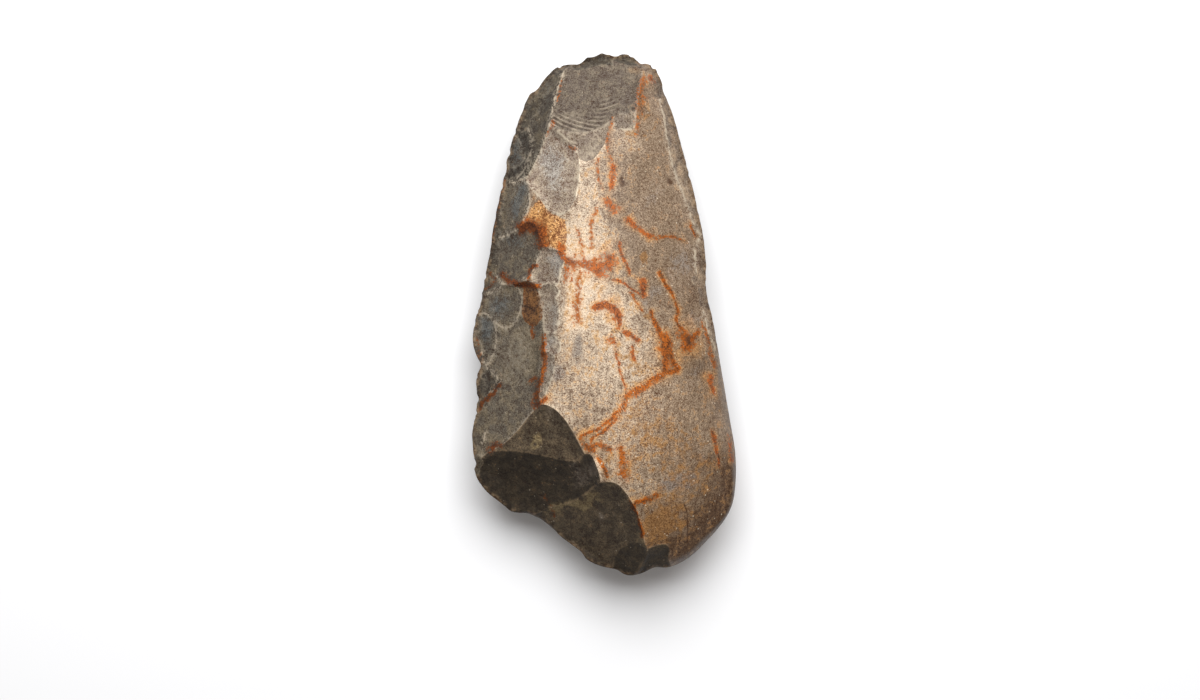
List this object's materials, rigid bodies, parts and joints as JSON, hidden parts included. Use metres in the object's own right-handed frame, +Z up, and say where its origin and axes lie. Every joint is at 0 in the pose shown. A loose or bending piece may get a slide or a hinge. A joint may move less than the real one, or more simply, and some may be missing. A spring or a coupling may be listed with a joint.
{
  "type": "stone hand axe",
  "caption": "Tapered axe head of flaked and ground stone with a broken bit corner, lying on its lower face.",
  "frame": {"origin": "centre of the overall box, on the surface that the axe lies on", "axes": "+X across the blade, +Y along it from the bit to the butt, +Z up, out of the upper face"},
  "size_m": [0.0524, 0.1038, 0.024],
  "materials": {
    "stone": "matte, ground smooth on its faces"
  },
  "bodies": {
    "root": {"axe_stone": "stone"}
  },
  "joints": []
}
